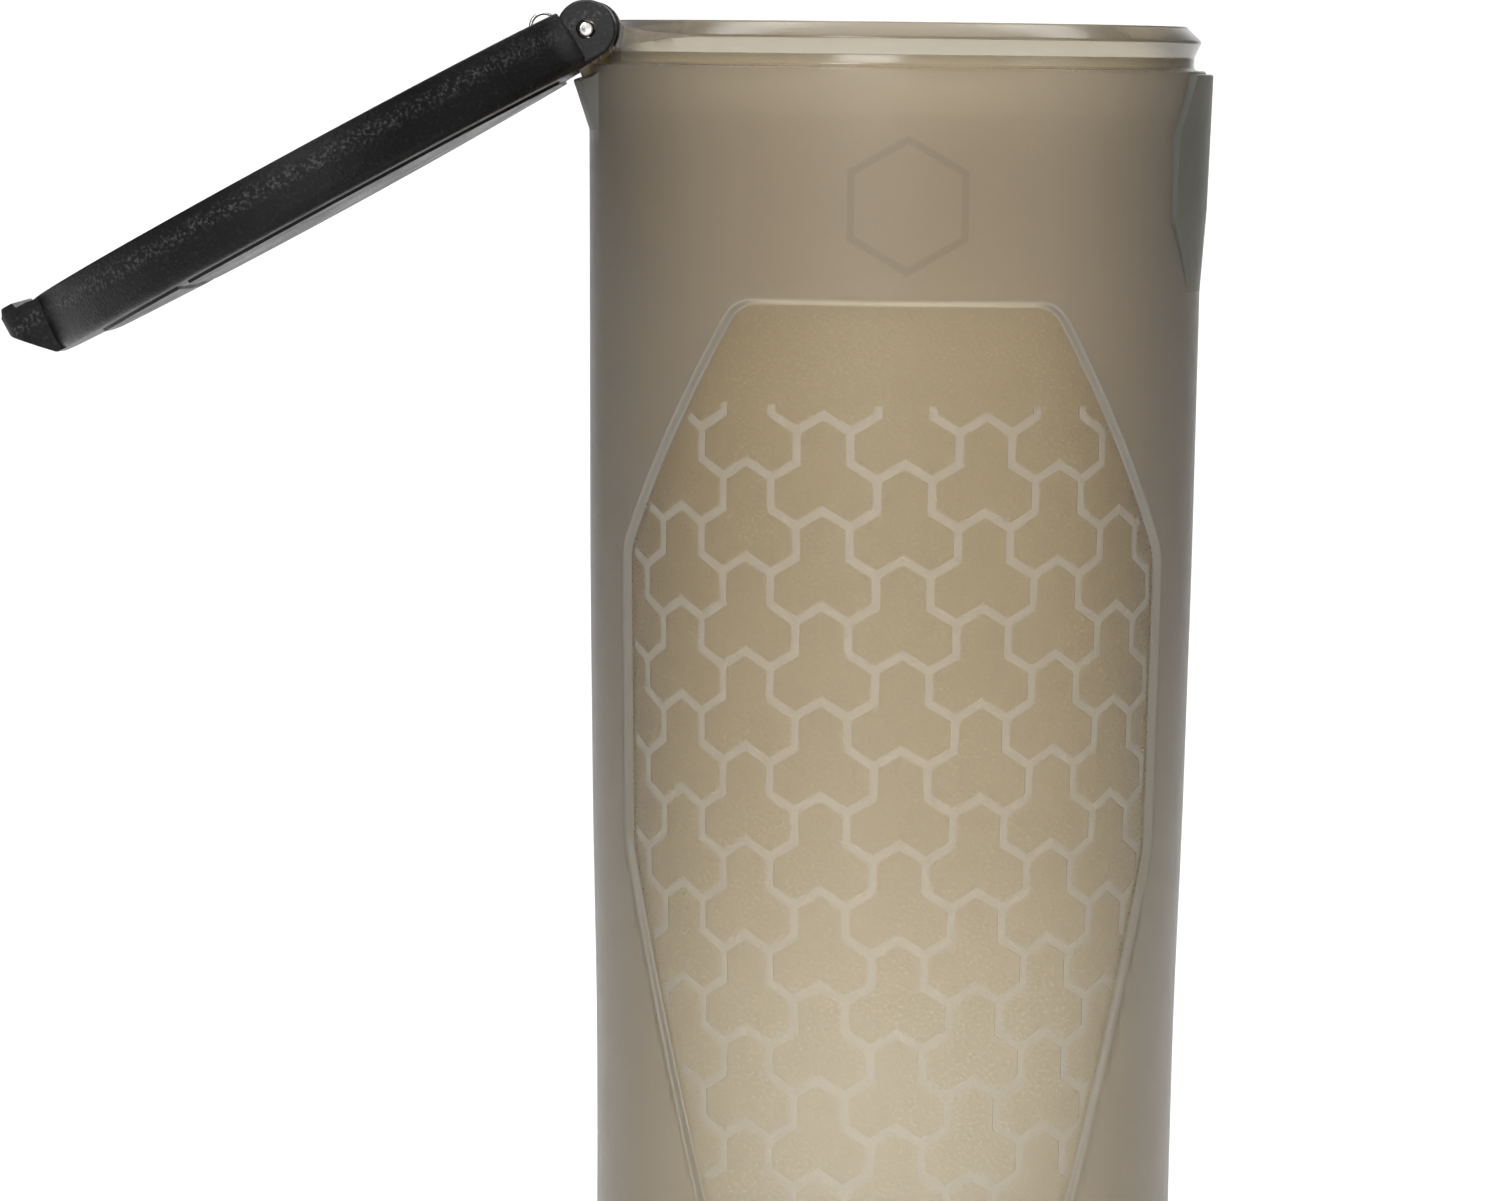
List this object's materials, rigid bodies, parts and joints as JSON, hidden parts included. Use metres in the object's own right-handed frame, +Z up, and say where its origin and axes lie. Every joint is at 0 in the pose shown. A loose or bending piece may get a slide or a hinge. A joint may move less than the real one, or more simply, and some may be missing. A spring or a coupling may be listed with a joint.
{
  "type": "flip-lid storage pod",
  "caption": "Round translucent hand-held storage pod with a wide open mouth, grip panels and a spring-loaded black lid that swings clear on a steel hinge pin.",
  "frame": {"origin": "centre of the flat base face", "axes": "+Z up along the body axis, +X from the hinge towards the latch, +Y from the front grip panel towards the back one"},
  "size_m": [0.1429, 0.0748, 0.1973],
  "materials": {
    "smoke_plastic": "smoke-tinted translucent moulding, frosted grip panels, glossy neck",
    "black_plastic": "fine-grained satin black moulding",
    "pin_steel": "bright peened end",
    "spring_steel": "drawn wire"
  },
  "bodies": {
    "pod": {"pod_body": "smoke_plastic", "hinge_pin": "pin_steel", "torsion_spring": "spring_steel"},
    "lid": {"lid": "black_plastic"}
  },
  "joints": [
    {"name": "lid_hinge", "type": "hinge", "parent": "pod", "child": "lid", "pos_m": [-0.0366, 0, 0.19385], "axis": [0, 1, 0], "range_deg": [0, 209.15], "stiffness_Nm_per_rad": 0.008, "springref_deg": -45.84, "deforming": ["torsion_spring"]}
  ]
}
